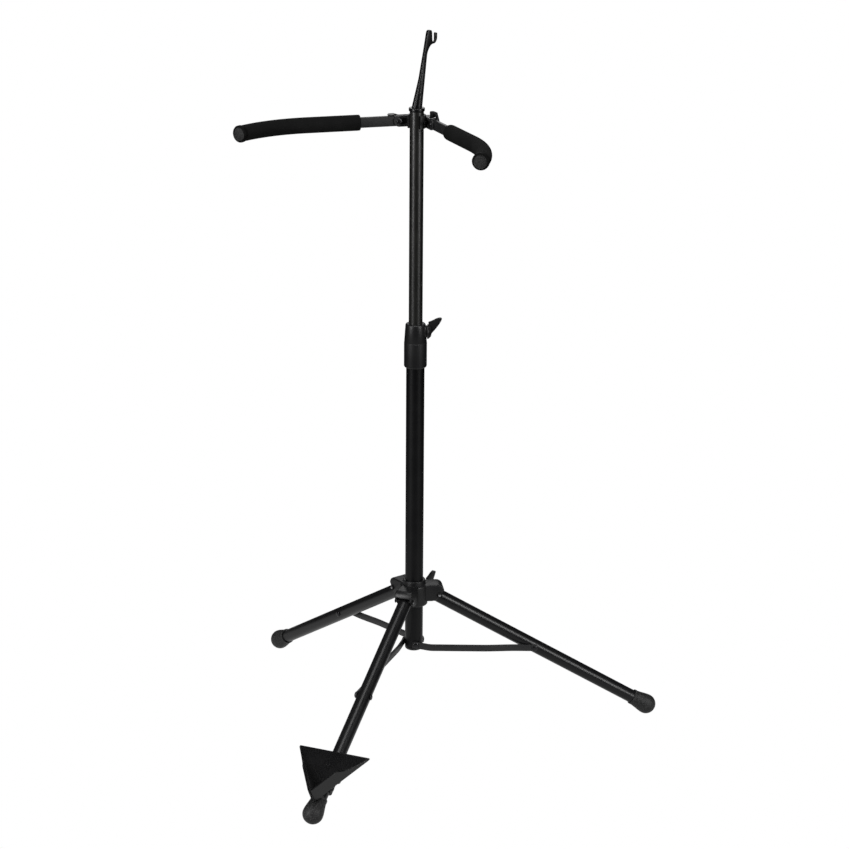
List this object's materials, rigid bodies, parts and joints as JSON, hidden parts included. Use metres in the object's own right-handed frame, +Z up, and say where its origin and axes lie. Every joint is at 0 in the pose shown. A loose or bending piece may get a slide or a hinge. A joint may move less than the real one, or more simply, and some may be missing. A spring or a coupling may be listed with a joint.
{
  "type": "cello stand",
  "caption": "Folding tripod stand for a cello: sliding hub and legs, telescoping column, two padded arms, bow hook and an end pin tray on the front leg",
  "frame": {"origin": "centre of the stand's bounding box on the floor that the three feet rest on; the column stands 85.3 mm behind it", "axes": "+Z up along the column; the front leg with the tray points along -Y; +X to the right seen from the front"},
  "size_m": [0.6198, 0.5404, 1.0047],
  "materials": {
    "outer_enamel": "satin black powder coat",
    "inner_enamel": "satin black-grey powder coat",
    "brace_enamel": "matt black powder coat",
    "tray_enamel": "gloss black",
    "black_plastic": "fine grain",
    "inner_plastic": "smooth",
    "black_rubber": "matt",
    "black_foam": "open foam",
    "zinc_steel": "bright zinc",
    "black_steel": "black oxide"
  },
  "bodies": {
    "column": {"outer_tube": "outer_enamel", "column_plug": "black_plastic", "brace_inner_rivet_front": "black_steel", "brace_inner_rivet_right": "black_steel", "brace_inner_rivet_left": "black_steel", "clamp_collar": "black_plastic", "clamp_bush": "inner_plastic", "clamp_nut": "zinc_steel"},
    "clamp_thumbscrew": {"clamp_knob": "black_plastic", "clamp_screw": "zinc_steel"},
    "hub": {"leg_hub": "black_plastic", "hub_nut": "zinc_steel", "leg_pivot_bolt_front": "black_steel", "leg_pivot_bolt_right": "black_steel", "leg_pivot_bolt_left": "black_steel"},
    "hub_thumbscrew": {"hub_knob": "black_plastic", "hub_screw": "zinc_steel"},
    "leg_front": {"leg_tube_front": "outer_enamel", "leg_insert_front": "inner_plastic", "foot_front": "black_rubber", "leg_rivet_front": "black_steel", "end_pin_tray": "tray_enamel", "tray_saddle": "black_plastic", "tray_screw_1": "black_steel", "tray_screw_2": "black_steel", "tray_rivet_1": "black_steel", "tray_rivet_2": "black_steel"},
    "leg_right": {"leg_tube_right": "outer_enamel", "leg_insert_right": "inner_plastic", "foot_right": "black_rubber", "leg_rivet_right": "black_steel"},
    "leg_left": {"leg_tube_left": "outer_enamel", "leg_insert_left": "inner_plastic", "foot_left": "black_rubber", "leg_rivet_left": "black_steel"},
    "brace_front": {"brace_front": "brace_enamel", "brace_outer_rivet_front": "black_steel"},
    "brace_right": {"brace_right": "brace_enamel", "brace_outer_rivet_right": "black_steel"},
    "brace_left": {"brace_left": "brace_enamel", "brace_outer_rivet_left": "black_steel"},
    "guide": {"guide_bush": "inner_plastic"},
    "mast": {"inner_tube": "inner_enamel", "yoke_bracket": "brace_enamel", "yoke_pin": "black_steel", "arm_pivot_pin_right": "black_steel", "arm_pivot_pin_left": "black_steel", "bow_hook": "black_plastic"},
    "arm_right": {"arm_bar_right": "brace_enamel", "foam_sleeve_right": "black_foam", "arm_end_cap_right": "black_rubber"},
    "arm_left": {"arm_bar_left": "brace_enamel", "foam_sleeve_left": "black_foam", "arm_end_cap_left": "black_rubber"},
    "lever_right": {"arm_lock_lever_right": "black_plastic"},
    "lever_left": {"arm_lock_lever_left": "black_plastic"}
  },
  "joints": [
    {"name": "hub_slide", "type": "slide", "parent": "column", "child": "hub", "axis": [0, 0, 1], "range_m": [0, 0.2599]},
    {"name": "hub_screw_turn", "type": "hinge", "parent": "hub", "child": "hub_thumbscrew", "pos_m": [0.0064, 0.1154, 0.2012], "axis": [0.2079, 0.9781, 0], "continuous": true},
    {"name": "leg_front_fold", "type": "hinge", "parent": "hub", "child": "leg_front", "pos_m": [0, 0.05031, 0.2028], "axis": [1, 0, 0], "range_deg": [0, 59]},
    {"name": "leg_right_fold", "type": "hinge", "parent": "hub", "child": "leg_right", "pos_m": [0.03031, 0.10281, 0.2028], "axis": [-0.5, 0.866, 0], "range_deg": [0, 59]},
    {"name": "leg_left_fold", "type": "hinge", "parent": "hub", "child": "leg_left", "pos_m": [-0.03031, 0.10281, 0.2028], "axis": [-0.5, -0.866, 0], "range_deg": [0, 59]},
    {"name": "brace_front_swing", "type": "hinge", "parent": "column", "child": "brace_front", "pos_m": [-0.01425, 0.08431, 0.1284], "axis": [-1, 0, 0], "range_deg": [0, 84.8]},
    {"name": "brace_right_swing", "type": "hinge", "parent": "column", "child": "brace_right", "pos_m": [0.00799, 0.07347, 0.1284], "axis": [0.5, -0.866, 0], "range_deg": [0, 84.8]},
    {"name": "brace_left_swing", "type": "hinge", "parent": "column", "child": "brace_left", "pos_m": [0.00626, 0.09815, 0.1284], "axis": [0.5, 0.866, 0], "range_deg": [0, 84.8]},
    {"name": "clamp_screw_turn", "type": "hinge", "parent": "column", "child": "clamp_thumbscrew", "pos_m": [0.01513, 0.09082, 0.5905], "axis": [0.9397, 0.342, 0], "continuous": true},
    {"name": "mast_slide", "type": "slide", "parent": "column", "child": "guide", "axis": [0, 0, 1], "range_m": [-0.24, 0.14]},
    {"name": "mast_swivel", "type": "hinge", "parent": "guide", "child": "mast", "pos_m": [0, 0.08531, 0.39], "axis": [0, 0, 1], "continuous": true},
    {"name": "arm_right_fold", "type": "hinge", "parent": "mast", "child": "arm_right", "pos_m": [0.02615, 0.08216, 0.8823], "axis": [0.6947, 0.7193, 0], "range_deg": [0, 85]},
    {"name": "arm_left_fold", "type": "hinge", "parent": "mast", "child": "arm_left", "pos_m": [-0.02634, 0.08491, 0.8823], "axis": [0.6157, -0.788, 0], "range_deg": [0, 85]},
    {"name": "lever_right_flip", "type": "hinge", "parent": "mast", "child": "lever_right", "pos_m": [0.02615, 0.08216, 0.8823], "axis": [-0.6947, -0.7193, 0], "range_deg": [-72, 0]},
    {"name": "lever_left_flip", "type": "hinge", "parent": "mast", "child": "lever_left", "pos_m": [-0.02634, 0.08491, 0.8823], "axis": [-0.6157, 0.788, 0], "range_deg": [0, 72]}
  ],
  "couplings": [
    {"joint": "leg_front_fold", "follows": "hub_slide", "rad_per_m": 3.962},
    {"joint": "leg_right_fold", "follows": "hub_slide", "rad_per_m": 3.962},
    {"joint": "leg_left_fold", "follows": "hub_slide", "rad_per_m": 3.962},
    {"joint": "brace_front_swing", "follows": "hub_slide", "rad_per_m": 5.6942},
    {"joint": "brace_right_swing", "follows": "hub_slide", "rad_per_m": 5.6942},
    {"joint": "brace_left_swing", "follows": "hub_slide", "rad_per_m": 5.6942}
  ]
}
